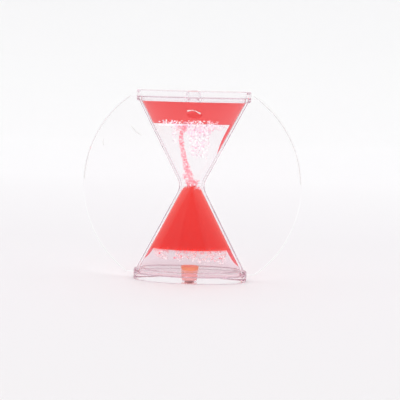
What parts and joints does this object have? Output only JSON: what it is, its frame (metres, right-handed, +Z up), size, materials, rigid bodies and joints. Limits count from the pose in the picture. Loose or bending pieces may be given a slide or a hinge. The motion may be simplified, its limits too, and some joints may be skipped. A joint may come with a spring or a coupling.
{
  "type": "liquid motion timer",
  "caption": "Clear hourglass timer in a round flat web, with red liquid rising in drops through its waist and an orange filler plug in its oval bottom cap.",
  "frame": {"origin": "middle of the flat underside of the bottom cap", "axes": "+Z up through the waist, +X to the right along the round web, -Y to the front"},
  "size_m": [0.09, 0.022, 0.078],
  "materials": {
    "clear_plastic": "clear, polished",
    "orange_rubber": "satin",
    "red_liquid": "dyed liquid",
    "clear_liquid": "clear liquid",
    "pink_drops": "dyed drops",
    "froth": "fine drops"
  },
  "bodies": {
    "timer": {"hourglass_body": "clear_plastic", "bottom_cap": "clear_plastic", "top_cap": "clear_plastic", "bottom_plug": "orange_rubber", "top_plug": "clear_plastic", "drip_insert": "clear_plastic", "red_liquid_upper": "red_liquid", "red_liquid_lower": "red_liquid", "clear_liquid_upper": "clear_liquid", "clear_liquid_lower": "clear_liquid", "upper_froth": "froth", "lower_froth": "froth"},
    "rising_drops": {"rising_drops": "pink_drops"}
  },
  "joints": [
    {"name": "drops_rise", "type": "slide", "parent": "timer", "child": "rising_drops", "axis": [-0.1637, 0, 0.9865], "range_m": [0, 0.00226]}
  ]
}
